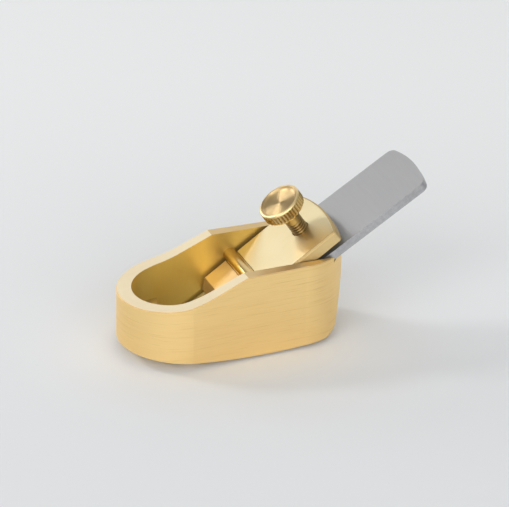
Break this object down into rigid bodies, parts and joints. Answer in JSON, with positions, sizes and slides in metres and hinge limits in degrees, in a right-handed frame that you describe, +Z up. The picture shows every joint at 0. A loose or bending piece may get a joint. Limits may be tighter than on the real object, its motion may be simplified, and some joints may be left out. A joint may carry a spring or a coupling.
{
  "type": "hand plane",
  "caption": "Small brass finger plane: oval body with an open toe well and sloping bed, a flat steel blade, and a lever cap held by a cross pin and a knurled thumbscrew.",
  "frame": {"origin": "on the sole's flat spot, halfway along the body and in the middle of its width", "axes": "+X towards the toe, +Z up out of the sole, +Y to the side that faces the camera in the picture"},
  "size_m": [0.0709, 0.026, 0.0358],
  "materials": {
    "body_brass": "fine brushed",
    "pin_brass": "drawn, bright",
    "blade_steel": "fine ground, matte",
    "cap_brass": "satin polished",
    "screw_brass": "lathe turned"
  },
  "bodies": {
    "stock": {"plane_body": "body_brass", "cross_pin": "pin_brass"},
    "iron": {"blade": "blade_steel"},
    "cap": {"lever_cap": "cap_brass"},
    "screw": {"thumbscrew": "screw_brass"}
  },
  "joints": [
    {"name": "blade_slide", "type": "slide", "parent": "stock", "child": "iron", "axis": [-0.848, 0, 0.5299], "range_m": [-0.001, 0.03]},
    {"name": "thumbscrew_turn", "type": "hinge", "parent": "stock", "child": "screw", "pos_m": [-0.01846, 0, 0.02125], "axis": [0.565, 0, 0.8251], "range_deg": [0, 360]},
    {"name": "lever_cap_rock", "type": "hinge", "parent": "stock", "child": "cap", "pos_m": [-0.00396, 0, 0.0149], "axis": [0, -1, 0], "range_deg": [0, 2.58]}
  ],
  "couplings": [
    {"joint": "thumbscrew_turn", "follows": "lever_cap_rock", "ratio": 139.58}
  ]
}
